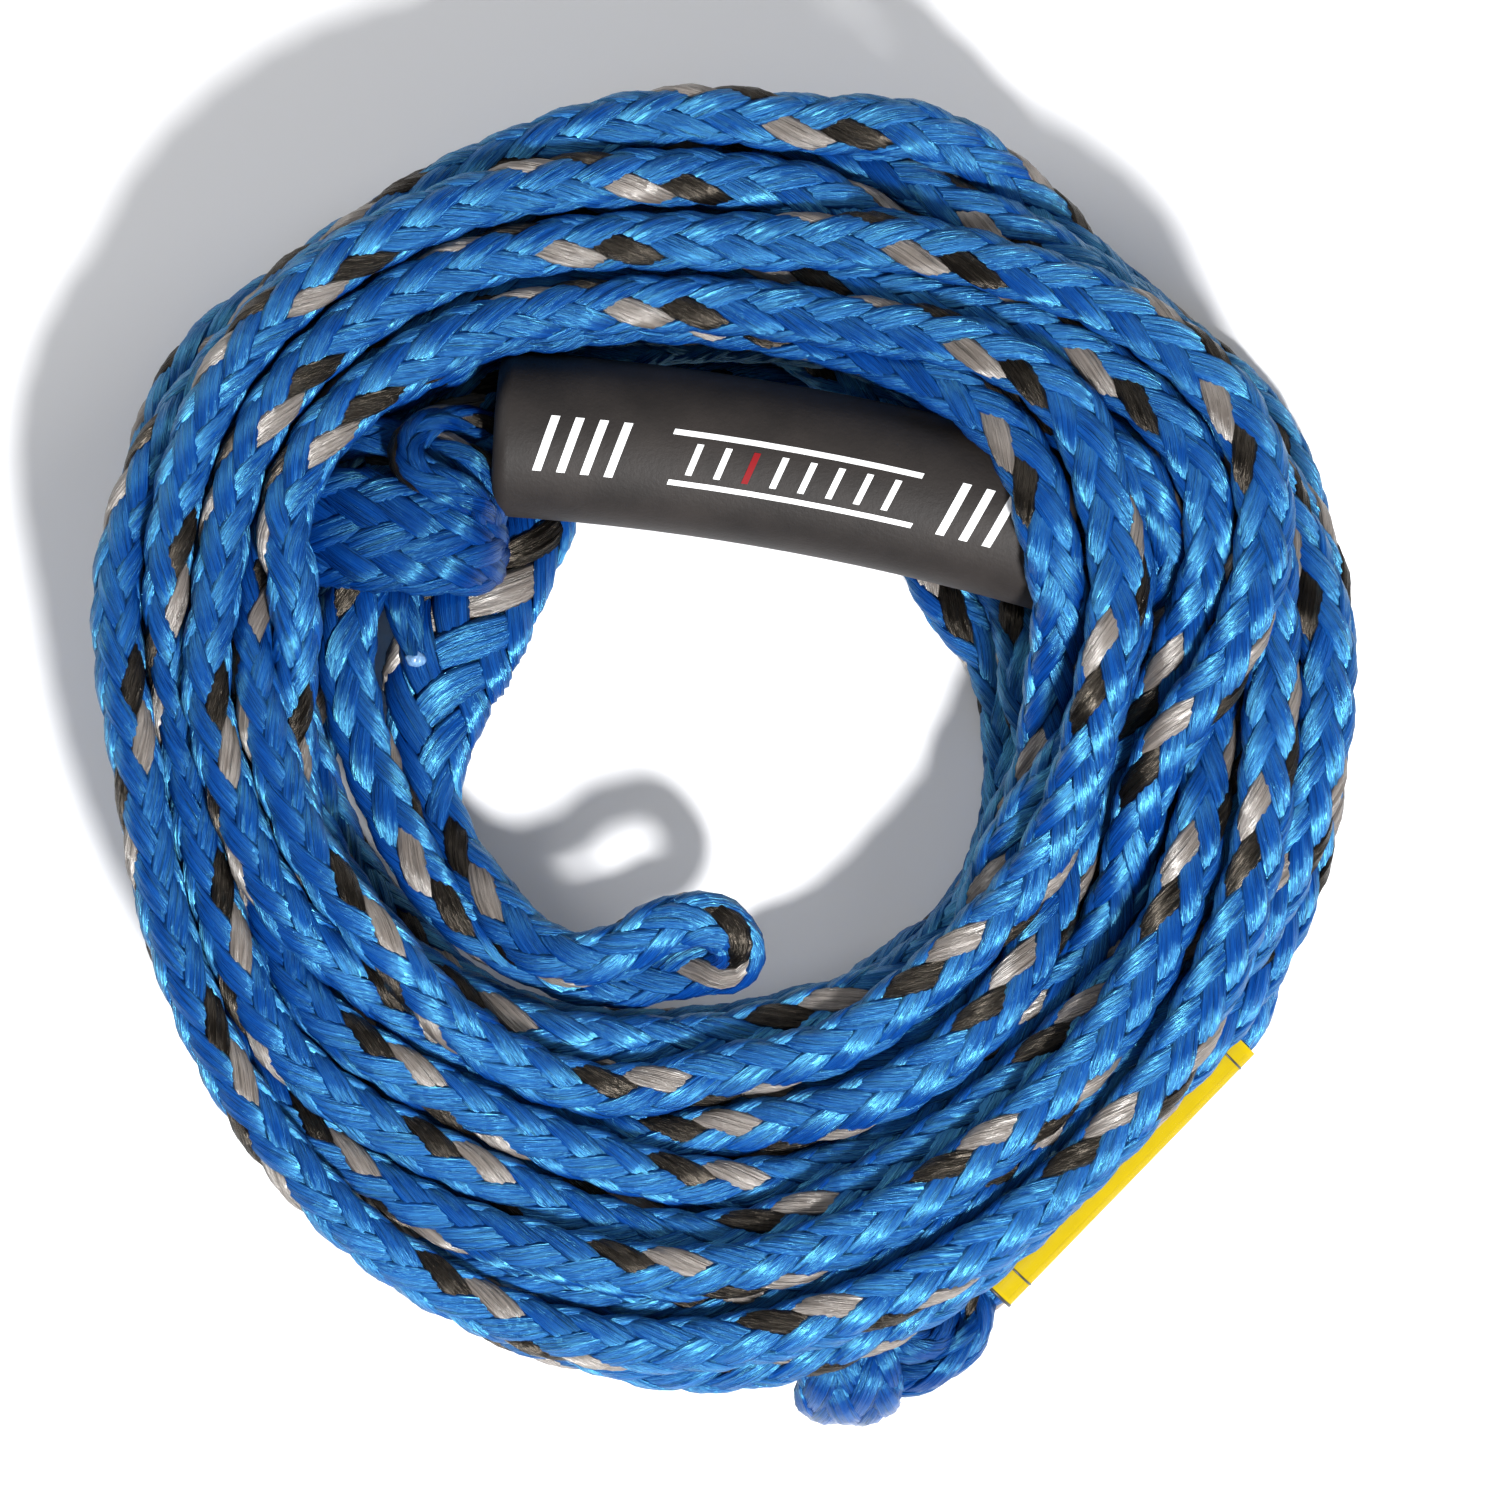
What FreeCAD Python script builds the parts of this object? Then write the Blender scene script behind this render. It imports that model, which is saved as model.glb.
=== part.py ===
"""A coiled towable-tube rope: its coil, float sleeve, knots, end loops and label, in millimetres.

The coil lies flat on z = 0 with its opening facing up. +Y is the coil's long way across, and the origin
is the middle of the whole part's footprint. Angles are in degrees.
"""

import FreeCAD
import Part
import Sketcher
import math
import os

from FreeCAD import Placement, Rotation, Vector

CELLS = {
    # The rope, and the clearances between it and what is on or beside it.
    "rope_diameter": 12.0,
    "bore_clearance": 0.05,
    "seat_clearance": 0.4,
    # The coil of turns: an elliptical ring with an off-centre opening and a flat on its label side.
    "coil_width": 287.0,
    "coil_length": 305.0,
    "coil_height": 60.0,
    "coil_shift_y": 3.0,
    "opening_width": 155.0,
    "opening_length": 146.0,
    "opening_shift_x": -16.0,
    "opening_shift_y": 15.0,
    "coil_rounding": 22.0,
    "label_side_reach": 138.1,
    # The slot under the coil's lower edge where the outer loop lies, from its lower left corner.
    "loop_slot_x": -98.0,
    "loop_slot_y": -170.0,
    "loop_slot_width": 128.0,
    "loop_slot_length": 84.0,
    "loop_slot_top": 14.6,
    # How far a cutting shape reaches past the face it comes out of, so that no skin is left there.
    "cut_margin": 1.0,
    # The float: a foam tube bent to a large radius, on a stretch of rope bent alike.
    "bend_radius": 600.0,
    "bend_centre_x": -89.2,
    "bend_centre_y": -525.1,
    "float_axis_height": 31.0,
    "float_diameter": 38.0,
    "float_angle": 12.8,
    "float_first_angle": 73.6,
    "float_edge_radius": 3.5,
    "float_travel": 1.2,
    "bore_margin_angle": 1.0,
    # The coil's channel for the float, from just before the float's travel to the inner knot's seat.
    "channel_clearance": 1.0,
    "channel_lead_angle": 0.2,
    "channel_past_angle": 2.3,
    # The rope in the float: how far past the float it keeps the bend, then its corner, then its end.
    "strand_past_angle": 0.5,
    "strand_corner_distance": 13.3,
    "strand_end_x": -82.0,
    "strand_end_y": 69.0,
    # The knots, as ellipsoids: half sizes along X, Y and Z, and the centre.
    "inner_knot_half_x": 22.5,
    "inner_knot_half_y": 20.0,
    "inner_knot_half_z": 15.5,
    "inner_knot_x": -77.0,
    "inner_knot_y": 53.0,
    "outer_knot_half_x": 23.0,
    "outer_knot_half_y": 16.0,
    "outer_knot_half_z": 15.0,
    "outer_knot_x": 39.0,
    "outer_knot_y": -139.5,
    "outer_knot_z": 15.2,
    # The label, on a straight stretch of rope along the coil's flat side.
    "label_start_x": 119.5,
    "label_start_y": -65.4,
    "label_bearing": -134.2,
    "label_length": 82.0,
    "label_thickness": 0.35,
    "film_thickness": 0.2,
    "film_overlap": 3.0,
    "strand_before_label": 6.0,
    "strand_after_label": 12.0,
    # The cut end of the rope's tail.
    "tail_radius": 2.6,
    "tail_length": 6.0,
    "tail_x": -70.5,
    "tail_y": 22.8,
    "tail_base_height": 22.5,
}

# The inner loop, from its knot down the coil's inner side, over and under at its tip, and back up.
INNER_LOOP_ROUTE = [
    Vector(-83, 40, 30),
    Vector(-81, 12, 32),
    Vector(-73, -12, 34),
    Vector(-57, -34, 36),
    Vector(-37, -46, 38),
    Vector(-17, -50, 40),
    Vector(8, -45.5, 40),
    Vector(8, -38, 16),
    Vector(-17, -39, 15.5),
    Vector(-42, -37, 15.5),
    Vector(-59, -22, 17),
    Vector(-63.5, -2, 18),
]

# The outer loop, flat on the ground in the slot under the coil, from its knot and back to it.
OUTER_LOOP_ROUTE = [
    Vector(22, -136, 8),
    Vector(-4, -138, 6.1),
    Vector(-32, -135, 6.1),
    Vector(-60, -127, 6.1),
    Vector(-88, -113, 6.1),
    Vector(-78, -91, 6.1),
    Vector(-52, -104, 6.1),
    Vector(-26, -112, 6.1),
    Vector(0, -117, 6.1),
    Vector(22, -129, 8),
]

# Where the throat's sections stand: centre, half width and half height of each.
THROAT_SECTIONS = [
    (Vector(-63.5, -2, 18), 6.0, 6.0),
    (Vector(-60.5, 15, 18.5), 9.5, 6.5),
    (Vector(-58, 34, 19.5), 16.0, 6.5),
    (Vector(-61, 46, 22), 14.0, 6.0),
]

# The share of the shorter run beside a corner that its arc may take.
ARC_SHARE = 0.45

# Two radii closer than this are the same one.
SAME_RADIUS = 0.01

doc = FreeCAD.newDocument("tow_rope")
sheet = doc.addObject("Spreadsheet::Sheet", "dims")


def fill_sheet():
    """Puts every driving dimension in the sheet, under its own alias."""
    for row, (alias, value) in enumerate(CELLS.items(), start=1):
        sheet.set(f"A{row}", alias)
        sheet.set(f"B{row}", str(value))
        sheet.setAlias(f"B{row}", alias)
    doc.recompute()


def size(alias):
    """A cell's value as a plain number."""
    return float(sheet.get(alias))


def bind(thing, **expressions):
    """Binds an object's properties to expressions of the sheet's cells."""
    for name, words in expressions.items():
        thing.setExpression(name, words)


def origin_plane(body, role):
    """One of a body's own origin planes."""
    return next(f for f in body.Origin.OriginFeatures if f.Role == role)


def ellipse_sketch(body, name, width, length, centre):
    """A sketch of one ellipse on the body's ground plane, sized and placed by the sheet."""
    sketch = body.newObject("Sketcher::SketchObject", name)
    sketch.AttachmentSupport = [(origin_plane(body, "XY_Plane"), "")]
    sketch.MapMode = "FlatFace"
    half_x = size(width) / 2
    half_y = size(length) / 2
    middle = Vector(size(centre[0]) if centre[0] else 0, size(centre[1]), 0)
    tips = [middle + Vector(half_x, 0, 0), middle + Vector(0, half_y, 0)]
    lengthwise = half_y > half_x
    if lengthwise:
        tips.reverse()
    ellipse = sketch.addGeometry(Part.Ellipse(tips[0], tips[1], middle), False)
    sketch.exposeInternalGeometry(ellipse)
    major = ellipse + 1
    minor = ellipse + 2
    sketch.addConstraint(Sketcher.Constraint("Vertical" if lengthwise else "Horizontal", major))
    sizes = {major: length if lengthwise else width, minor: width if lengthwise else length}
    for line, cell in sizes.items():
        index = sketch.addConstraint(Sketcher.Constraint("Distance", line, size(cell)))
        sketch.renameConstraint(index, cell)
        sketch.setExpression(f"Constraints.{cell}", f"dims.{cell}")
    for way, cell in zip(("DistanceX", "DistanceY"), centre):
        place = Sketcher.Constraint(way, -1, 1, ellipse, 3, size(cell) if cell else 0.0)
        index = sketch.addConstraint(place)
        if cell:
            sketch.renameConstraint(index, cell)
            sketch.setExpression(f"Constraints.{cell}", f"dims.{cell}")
    return sketch


def ring_body():
    """The coil's outer shape before anything is let into it: a rounded ring with a flat underside."""
    body = doc.addObject("PartDesign::Body", "CoilRing")
    outline = ellipse_sketch(body, "CoilOutline", "coil_width", "coil_length", (None, "coil_shift_y"))
    pad = body.newObject("PartDesign::Pad", "CoilPad")
    pad.Profile = outline
    bind(pad, Length="dims.coil_height")
    opening = ellipse_sketch(
        body,
        "OpeningOutline",
        "opening_width",
        "opening_length",
        ("opening_shift_x", "opening_shift_y"),
    )
    pocket = body.newObject("PartDesign::Pocket", "Opening")
    pocket.Profile = opening
    pocket.Reversed = True
    bind(pocket, Length="dims.coil_height")
    doc.recompute()
    rims = [
        f"Edge{i}"
        for i, edge in enumerate(pocket.Shape.Edges, start=1)
        if isinstance(edge.Curve, Part.Ellipse) and edge.BoundBox.ZMin > size("coil_height") / 2
    ]
    rounding = body.newObject("PartDesign::Fillet", "Rounding")
    rounding.Base = (pocket, rims)
    bind(rounding, Radius="dims.coil_rounding")
    body.Tip = rounding
    doc.recompute()
    return body


def bent_rod(name, radius, first_angle, angle):
    """A round rod bent about the float's bend centre, from first_angle on through angle."""
    rod = doc.addObject("Part::Torus", name)
    bind(rod, Radius1="dims.bend_radius", Radius2=radius, Angle3=angle)
    bind(
        rod,
        **{
            "Placement.Base.x": "dims.bend_centre_x",
            "Placement.Base.y": "dims.bend_centre_y",
            "Placement.Base.z": "dims.float_axis_height",
            "Placement.Rotation.Angle": first_angle,
        },
    )
    return rod


def ellipsoid(name, half_sizes, centre, extra="0"):
    """An ellipsoid with the given half sizes along X, Y and Z, each larger by extra."""
    shape = doc.addObject("Part::Ellipsoid", name)
    bind(
        shape,
        Radius1=f"{half_sizes[2]} + {extra}",
        Radius2=f"{half_sizes[0]} + {extra}",
        Radius3=f"{half_sizes[1]} + {extra}",
    )
    bind(shape, **{f"Placement.Base.{axis}": words for axis, words in zip("xyz", centre)})
    return shape


def route_edges(points, name):
    """Straight runs through the points, joined by tangent arcs as large as the runs allow."""
    edges = []
    radii = []
    here = points[0]
    for before, corner, after in zip(points, points[1:], points[2:]):
        back = before - corner
        on = after - corner
        trim = ARC_SHARE * min(back.Length, on.Length)
        back.normalize()
        on.normalize()
        half_turn = (math.pi - back.getAngle(on)) / 2
        radius = trim / math.tan(half_turn)
        inward = back + on
        inward.normalize()
        start = corner + back * trim
        end = corner + on * trim
        middle = corner + inward * (radius / math.cos(half_turn) - radius)
        edges.append(Part.LineSegment(here, start).toShape())
        edges.append(Part.Arc(start, middle, end).toShape())
        radii.append(round(radius, 1))
        here = end
    edges.append(Part.LineSegment(here, points[-1]).toShape())
    print(f"{name}: arc radii {radii} mm")
    return edges


def tube(name, edges, radius):
    """A round rod of that radius along tangent edges, as a feature of its own."""
    spine = Part.Wire(edges)
    start = edges[0].Vertexes[0].Point
    heading = edges[0].tangentAt(edges[0].FirstParameter)
    rim = Part.Wire(Part.makeCircle(radius, start, heading))
    solid = spine.makePipeShell([rim], True, False)
    expected = math.pi * radius**2 * spine.Length
    print(f"{name}: {spine.Length:.1f} mm long, volume {solid.Volume / expected:.3f} of section x length")
    feature = doc.addObject("Part::Feature", name)
    feature.Shape = solid
    return feature


def cut(name, base, tools):
    """base without the tools, taken away one after another."""
    for count, tool in enumerate(tools, start=1):
        step = doc.addObject("Part::Cut", f"{name}Cut{count}")
        step.Base = base
        step.Tool = tool
        base = step
    return base


def rod_along_label(name, radius, start, length):
    """A cylinder on the label's axis, from start mm past the label's first end."""
    rod = doc.addObject("Part::Cylinder", name)
    bind(rod, Radius=radius, Height=length)
    bearing = math.radians(size("label_bearing"))
    heading = Vector(math.cos(bearing), math.sin(bearing), 0)
    foot = Vector(size("label_start_x"), size("label_start_y"), size("outer_knot_z"))
    rod.Placement = Placement(foot + heading * start, Rotation(Vector(0, 0, 1), heading))
    return rod


def recess(name, corner, sides, top):
    """A square recess in the coil's underside, from its lower left corner, up to a height."""
    box = doc.addObject("Part::Box", name)
    bind(box, Length=sides[0], Width=sides[1], Height=f"{top} + dims.cut_margin")
    bind(
        box,
        **{
            "Placement.Base.x": corner[0],
            "Placement.Base.y": corner[1],
            "Placement.Base.z": "-dims.cut_margin",
        },
    )
    return box


def coil():
    """The coil's solid: the ring, its flat side, and room for the float, knots, label and outer loop."""
    reach = size("coil_length")
    side = doc.addObject("Part::Box", "LabelSide")
    height = "dims.coil_height + 2 * dims.cut_margin"
    bind(side, Length="dims.coil_length", Width="dims.coil_length", Height=height)
    out = math.radians(size("label_bearing") + 90)
    outward = Vector(math.cos(out), math.sin(out), 0)
    along = Vector(-outward.y, outward.x, 0)
    foot = Vector(0, 0, -size("cut_margin"))
    corner = outward * size("label_side_reach") - along * (reach / 2) + foot
    side.Placement = Placement(corner, Rotation(Vector(0, 0, 1), size("label_bearing") + 90))
    float_channel = bent_rod(
        "FloatChannel",
        "dims.float_diameter / 2 + dims.channel_clearance",
        "dims.float_first_angle - dims.float_travel - dims.channel_lead_angle",
        "dims.float_angle + dims.float_travel + dims.channel_past_angle",
    )
    label_channel = rod_along_label(
        "LabelChannel",
        "dims.rope_diameter / 2 + dims.label_thickness + dims.film_thickness + dims.seat_clearance",
        -size("strand_before_label"),
        "dims.label_length + dims.strand_before_label + dims.strand_after_label",
    )
    inner_seat = ellipsoid("InnerKnotSeat", INNER_KNOT_HALF, INNER_KNOT_CENTRE, "dims.seat_clearance")
    outer_seat = recess(
        "OuterKnotSeat",
        (
            "dims.outer_knot_x - dims.outer_knot_half_x - dims.seat_clearance",
            "dims.outer_knot_y - dims.coil_rounding",
        ),
        (
            "2 * (dims.outer_knot_half_x + dims.seat_clearance)",
            "dims.outer_knot_half_y + dims.seat_clearance + dims.coil_rounding",
        ),
        "dims.outer_knot_z + dims.outer_knot_half_z + dims.seat_clearance",
    )
    slot = recess(
        "OuterLoopSlot",
        ("dims.loop_slot_x", "dims.loop_slot_y"),
        ("dims.loop_slot_width", "dims.loop_slot_length"),
        "dims.loop_slot_top",
    )
    tools = [side, float_channel, label_channel, inner_seat, outer_seat, slot]
    return cut("Coil", ring_body(), tools)


def foam_float():
    """The float: a bent foam tube with rounded ends and a running bore for the rope."""
    blank = bent_rod(
        "FloatBlank",
        "dims.float_diameter / 2",
        "dims.float_first_angle",
        "dims.float_angle",
    )
    doc.recompute()
    radius = size("float_diameter") / 2
    rims = [
        i
        for i, edge in enumerate(blank.Shape.Edges, start=1)
        if isinstance(edge.Curve, Part.Circle) and abs(edge.Curve.Radius - radius) < SAME_RADIUS
    ]
    rounding = size("float_edge_radius")
    rounded = doc.addObject("Part::Fillet", "FloatRounded")
    rounded.Base = blank
    rounded.Edges = [(i, rounding, rounding) for i in rims]
    bore = bent_rod(
        "FloatBore",
        "dims.rope_diameter / 2 + dims.bore_clearance",
        "dims.float_first_angle - dims.bore_margin_angle",
        "dims.float_angle + 2 * dims.bore_margin_angle",
    )
    return cut("Float", rounded, [bore])


def float_strand():
    """The rope through the float: bent alike, from the coil to just past the float, then into the knot."""
    centre = Vector(size("bend_centre_x"), size("bend_centre_y"), size("float_axis_height"))

    def on_bend(angle):
        turn = math.radians(angle)
        return centre + Vector(math.cos(turn), math.sin(turn), 0) * size("bend_radius")

    first = size("float_first_angle") - size("float_travel") - size("channel_lead_angle")
    last = size("float_first_angle") + size("float_angle") + size("strand_past_angle")
    bend = Part.Arc(on_bend(first), on_bend((first + last) / 2), on_bend(last)).toShape()
    leaving = math.radians(last + 90)
    heading = Vector(math.cos(leaving), math.sin(leaving), 0)
    corner = on_bend(last) + heading * size("strand_corner_distance")
    strand_end = Vector(size("strand_end_x"), size("strand_end_y"), size("float_axis_height"))
    edges = [bend] + route_edges([on_bend(last), corner, strand_end], "float strand")
    return tube("FloatStrand", edges, size("rope_diameter") / 2)


def throat():
    """The loop's wide leg: the braid opened and flattened round the tail inside it."""
    rims = []
    for centre, half_width, half_height in THROAT_SECTIONS:
        if half_width > half_height:
            curve = Part.Ellipse(Vector(0, 0, 0), half_width, half_height)
        else:
            curve = Part.Circle(Vector(0, 0, 0), Vector(0, 0, 1), half_width)
        rim = Part.Wire(curve.toShape())
        rim.Placement = Placement(centre, Rotation(Vector(1, 0, 0), 90))
        rims.append(rim)
    feature = doc.addObject("Part::Feature", "Throat")
    feature.Shape = Part.makeLoft(rims, True)
    return feature


def sleeve(name, inner, outer, start, length):
    """A thin tube round the label's stretch of rope."""
    shell = rod_along_label(name + "Outside", outer, start, length)
    margin = size("cut_margin")
    hollow = rod_along_label(name + "Inside", inner, start - margin, length + " + 2 * dims.cut_margin")
    return cut(name, shell, [hollow])


def tail_end():
    """The heat-sealed end of the tail, standing out of the braid."""
    stub = doc.addObject("Part::Cylinder", "TailEnd")
    bind(stub, Radius="dims.tail_radius", Height="dims.tail_length")
    place = ("tail_x", "tail_y", "tail_base_height")
    bind(stub, **{f"Placement.Base.{axis}": f"dims.{cell}" for axis, cell in zip("xyz", place)})
    return stub


def knot_cells(knot, height):
    """A knot's half sizes and centre, as expressions."""
    half_sizes = [f"dims.{knot}_half_{axis}" for axis in "xyz"]
    return half_sizes, (f"dims.{knot}_x", f"dims.{knot}_y", height)


def label_parts():
    """The stretch of rope under the label, the label round it and the clear film over that."""
    rope = "dims.rope_diameter / 2"
    label = rope + " + dims.label_thickness"
    film = label + " + dims.film_thickness"
    strand = rod_along_label(
        "LabelStrand",
        rope,
        -size("strand_before_label"),
        "dims.label_length + dims.strand_before_label + dims.strand_after_label",
    )
    wrap = sleeve("Label", rope, label, 0, "dims.label_length")
    over = sleeve(
        "Film",
        label,
        film,
        size("film_overlap") / 2,
        "dims.label_length - dims.film_overlap",
    )
    return {"label_strand": strand, "yellow_label": wrap, "clear_label_film": over}


def loop(name, route):
    """An end loop's rope along its route."""
    return tube(name, route_edges(route, name), size("rope_diameter") / 2)


def build():
    """Every sub-part, by its node's name."""
    parts = {
        "main_line_coil": coil(),
        "foam_float": foam_float(),
        "float_strand": float_strand(),
        "inner_knot": ellipsoid("InnerKnot", INNER_KNOT_HALF, INNER_KNOT_CENTRE),
        "inner_end_loop": loop("InnerLoop", INNER_LOOP_ROUTE),
        "inner_loop_throat": throat(),
        "sealed_tail_end": tail_end(),
        "outer_knot": ellipsoid("OuterKnot", OUTER_KNOT_HALF, OUTER_KNOT_CENTRE),
        "outer_end_loop": loop("OuterLoop", OUTER_LOOP_ROUTE),
    }
    parts.update(label_parts())
    for name, part in parts.items():
        part.Label = name
    doc.recompute()
    return parts


def export(parts):
    """Checks the whole document, then writes each sub-part to its own file."""
    for thing in doc.Objects:
        if "Invalid" in thing.State or "Error" in thing.State:
            raise SystemExit(f"{thing.Name} failed: {thing.State}")
    for name, part in parts.items():
        shape = part.Shape
        if shape.isNull() or not shape.isValid() or len(shape.Solids) != 1:
            raise SystemExit(f"{name} isn't one valid solid")
    os.makedirs("parts", exist_ok=True)
    for name, part in parts.items():
        part.Shape.exportStep(f"parts/{name}.step")
        box = part.Shape.BoundBox
        print(
            f"{name}: x {box.XMin:.1f}..{box.XMax:.1f}, y {box.YMin:.1f}..{box.YMax:.1f}, "
            f"z {box.ZMin:.1f}..{box.ZMax:.1f}, {part.Shape.Volume / 1000:.1f} cm3"
        )


INNER_KNOT_HALF, INNER_KNOT_CENTRE = knot_cells("inner_knot", "dims.float_axis_height")
OUTER_KNOT_HALF, OUTER_KNOT_CENTRE = knot_cells("outer_knot", "dims.outer_knot_z")

fill_sheet()
export(build())
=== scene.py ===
"""The look of a coiled tow rope: a braided rope, its knots and loops, a foam float and a label.

Lengths are in millimetres until a mesh is made. +Y is up in the main view, which looks down.
"""

import math

import bpy
import numpy as np
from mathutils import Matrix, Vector, kdtree


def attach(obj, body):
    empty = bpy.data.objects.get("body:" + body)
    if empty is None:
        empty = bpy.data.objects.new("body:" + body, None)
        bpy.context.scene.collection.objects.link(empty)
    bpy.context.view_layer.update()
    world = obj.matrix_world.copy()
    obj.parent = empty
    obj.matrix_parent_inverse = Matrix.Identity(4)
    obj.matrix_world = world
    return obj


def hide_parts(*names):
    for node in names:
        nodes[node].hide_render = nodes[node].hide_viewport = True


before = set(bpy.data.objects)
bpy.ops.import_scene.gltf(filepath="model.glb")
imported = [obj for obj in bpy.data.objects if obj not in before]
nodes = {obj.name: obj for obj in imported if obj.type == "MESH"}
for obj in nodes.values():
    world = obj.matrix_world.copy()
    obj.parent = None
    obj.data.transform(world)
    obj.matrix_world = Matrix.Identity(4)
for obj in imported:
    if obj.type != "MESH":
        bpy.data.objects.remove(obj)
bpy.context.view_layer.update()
MM = 0.001
TURN = 2 * math.pi


def add_object(name, data):
    thing = bpy.data.objects.new(name, data)
    bpy.context.scene.collection.objects.link(thing)
    return thing


# Camera: straight down on the coil.

FIELD = 345.0
FIELD_LEVEL = 30.0
VIEW_MIDDLE = (6.7, 0.9)


def add_camera():
    camera = add_object("camera", bpy.data.cameras.new("camera"))
    camera.data.lens = 135
    camera.data.sensor_width = 36
    height = FIELD * MM * camera.data.lens / camera.data.sensor_width + FIELD_LEVEL * MM
    camera.location = (VIEW_MIDDLE[0] * MM, VIEW_MIDDLE[1] * MM, height)
    bpy.context.scene.camera = camera


add_camera()

# The rope's routes.

ROPE = 12.0
# The coil's path has a point at every station, TURNS times round and EXTRA stations more.
TURNS = 24
STATIONS = 36
EXTRA = 5
FIRST_BEARING = 22.0

# The coil's inner and outer edge every 30 degrees, anticlockwise from +X: how far from the middle.
OUTER_EDGE = [146.0, 147.0, 144.0, 155.5, 148.5, 149.5, 135.5, 139.0, 144.0, 155.5, 137.0, 140.0]
INNER_EDGE_LOW = [61.0, 66.0, 76.0, 80.0, 88.0, 96.0, 94.0, 82.0, 69.0, 57.0, 59.0, 63.0]
INNER_EDGE_HIGH = [61.0, 87.0, 94.0, 90.0, 105.0, 112.0, 96.0, 82.0, 69.0, 57.0, 59.0, 63.0]
# How much wider than high the turns lie there.
FLATTENED = [1.3, 1.38, 1.4, 1.36, 1.25, 1.12, 1.08, 1.1, 1.2, 1.28, 1.32, 1.3]
LOOP_FLATTENED = 1.28
# The lowest and highest that the rope's middle lies, and up to where the inner edge is the low one.
FLOOR_LAYER = ROPE / 2 + 0.1
LOW_LAYER = 12.0
TOP_LAYER = 54.0

# Which layer each turn wishes for and how far out in it, from 0 to 1: the middle layer from the
# inside out, the top layer back and out, the bottom layer back and out again.
TURN_ACROSS = [0.45, 0.6, 0.8, 0.95, 0.75, 0.55, 0.35, 0.15]
TURN_ACROSS += [0.02, 0.14, 0.3, 0.44, 0.58, 0.7, 0.84, 0.98]
TURN_ACROSS += [0.75, 0.5, 0.25, 0.05, 0.22, 0.42, 0.65, 0.86, 0.97]
TURN_UP = [0.5, 0.4, 0.5, 0.45, 0.6, 0.5, 0.55, 0.6]
TURN_UP += [0.85, 1.0, 0.9, 1.0, 0.9, 1.0, 0.9, 0.8]
TURN_UP += [0.3, 0.25, 0.2, 0.1, 0.0, 0.0, 0.0, 0.0, 0.0]
# The coil's first and last points, where the rope comes from the float and goes to the label:
# how far from the middle and how high.
FIRST_HELD = [(113.5, 31.0), (120.5, 30.5), (122.0, 29.0)]
LAST_HELD = [(134.0, 18.5), (134.5, 16.5), (134.0, 15.4), (132.8, 15.2)]

BEND_CENTRE = np.array([-89.2, -525.1, 31.0])
BEND_RADIUS = 600.0
FLOAT_RADIUS = 19.0
FLOAT_ANGLES = (73.6, 86.4)
# How far the float slides, in degrees of its bend, and how far along the rope it can then reach.
FLOAT_TRAVEL = 1.2
BORE_END = 180.0

INNER_LOOP = [
    (-82, 42, 30), (-87, 27, 31), (-84.5, 9, 30), (-78, -9, 29), (-70, -25, 28), (-58, -38, 26),
    (-43, -48, 24), (-28, -53, 23.5), (-15, -51.5, 25), (-6, -49, 27.5), (2.5, -49.5, 31),
    (5, -43.5, 35), (-1, -38, 37.5), (-9, -37.5, 38), (-17, -41.5, 37.5), (-26, -47, 36),
    (-39, -47, 34), (-51, -38, 29), (-61, -26, 24), (-66, -14, 20), (-67, -3, 19.5),
    (-66.5, 8, 19.5), (-65, 17, 20), (-61, 26, 20), (-55, 35, 19), (-49, 43.5, 16.5),
    (-43, 52, 13.5), (-41, 61, 11.8), (-49, 66.5, 11.5), (-58, 63, 14), (-63, 56, 20),
]
THROAT_START = (-65.8, -12, 20)
# How wide and how high the throat is, from its start on: (distance along, half width or height).
# It has opened fully after THROAT_OPENS.
THROAT_WIDE = [
    (0, 6.1), (10, 9.4), (27, 14.5), (39, 16.0), (51, 14.0), (64, 10.5), (73, 9.5), (84, 7.5),
    (110, 6.5),
]
THROAT_HIGH = [(40, 6.1), (70, 5.2), (110, 5.4)]
THROAT_OPENS = 12
THROAT_STRANDS_WIDER = 0.12
BURIED_DEPTH = 2.9
THROAT_LINE = [
    (-65.5, 8, 20), (-60, 27, 20), (-49, 44, 16.5), (-42, 58, 12), (-52, 65, 13), (-62, 57, 19),
]
OUTER_LOOP = [
    (22, -136, 8), (-4, -138, 6.1), (-32, -135, 6.1), (-60, -127, 6.1), (-88, -113, 6.1),
    (-78, -91, 6.1), (-52, -104, 6.1), (-26, -112, 6.1), (0, -117, 6.1), (22, -129, 8),
]
FLOAT_STRAND = [
    (-82, 69, 31), (-66, 73.5, 31), (-51.5, 73.7, 31), (-5.7, 69.1, 31), (35.5, 61.8, 31),
    (80.2, 50.5, 31),
]
LABEL_STRAND = [
    (123.5, -60.4, 15.2), (119.5, -65.4, 15.2), (92.5, -93.2, 15.2), (62.5, -124.1, 15.2),
    (55, -129.5, 15.2),
]
INNER_KNOT_LINE = [(-88, 51, 30), (-68, 55, 30)]
OUTER_KNOT_LINE = [(30, -138, 15), (49, -139, 15)]
# The turns above the lowest layer stop at two lines, beside the label and before the outer knot:
# the direction in which each line faces, and how far out it is.
SIDES = [((0.717, -0.697), 124.5), ((0.375, -0.927), 134.0)]
SIDES_HEIGHT = 12.0


def on_bend(angle):
    turn = math.radians(angle)
    return BEND_CENTRE + BEND_RADIUS * np.array([math.cos(turn), math.sin(turn), 0])


# The float's axis over its whole travel, short of its ends.
FLOAT_SPAN = (FLOAT_ANGLES[0] - FLOAT_TRAVEL + 0.9, FLOAT_ANGLES[1] - 1.2)
FLOAT_LINE = np.array([on_bend(angle) for angle in np.linspace(*FLOAT_SPAN, 40)])

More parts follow.
